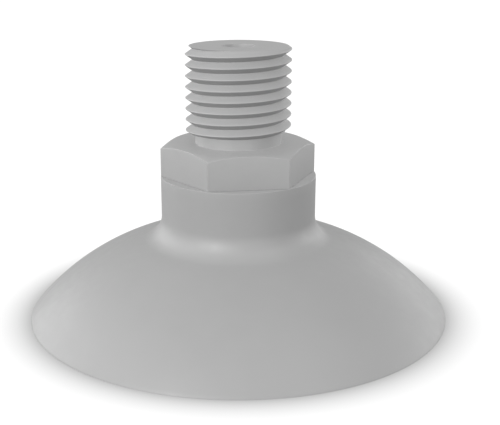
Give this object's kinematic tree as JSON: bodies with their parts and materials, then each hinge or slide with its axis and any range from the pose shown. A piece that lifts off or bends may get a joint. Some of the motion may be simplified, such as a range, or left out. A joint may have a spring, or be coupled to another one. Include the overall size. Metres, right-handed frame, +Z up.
{
  "type": "vacuum suction cup",
  "caption": "Round bell-shaped rubber vacuum cup on a metal nipple with a hexagon, an undercut and a male pipe thread, with an air port through its middle.",
  "frame": {"origin": "centre of the circle on which the lip seals, in the plane of the lip's edge", "axes": "+Z up the cup's axis towards the thread; two flats of the hexagon face -Y and +Y"},
  "size_m": [0.0535, 0.0534, 0.034],
  "materials": {
    "nipple_metal": "fine-turned and bead-blasted satin grey",
    "insert_metal": "turned",
    "seal_rubber": "smooth black",
    "screen_metal": "perforated sheet",
    "ring_metal": "spring steel",
    "cup_rubber": "matte moulded grey"
  },
  "bodies": {
    "fitting": {"threaded_nipple": "nipple_metal", "neck_insert": "insert_metal", "seal_ring": "seal_rubber", "filter_screen": "screen_metal", "screen_ring": "ring_metal"},
    "cup": {"rubber_cup": "cup_rubber"}
  },
  "joints": [
    {"name": "lip_stroke", "type": "slide", "parent": "fitting", "child": "cup", "axis": [0, 0, 1], "range_m": [0, 0.003], "stiffness_N_per_m": 5000, "deforming": ["rubber_cup"]}
  ]
}
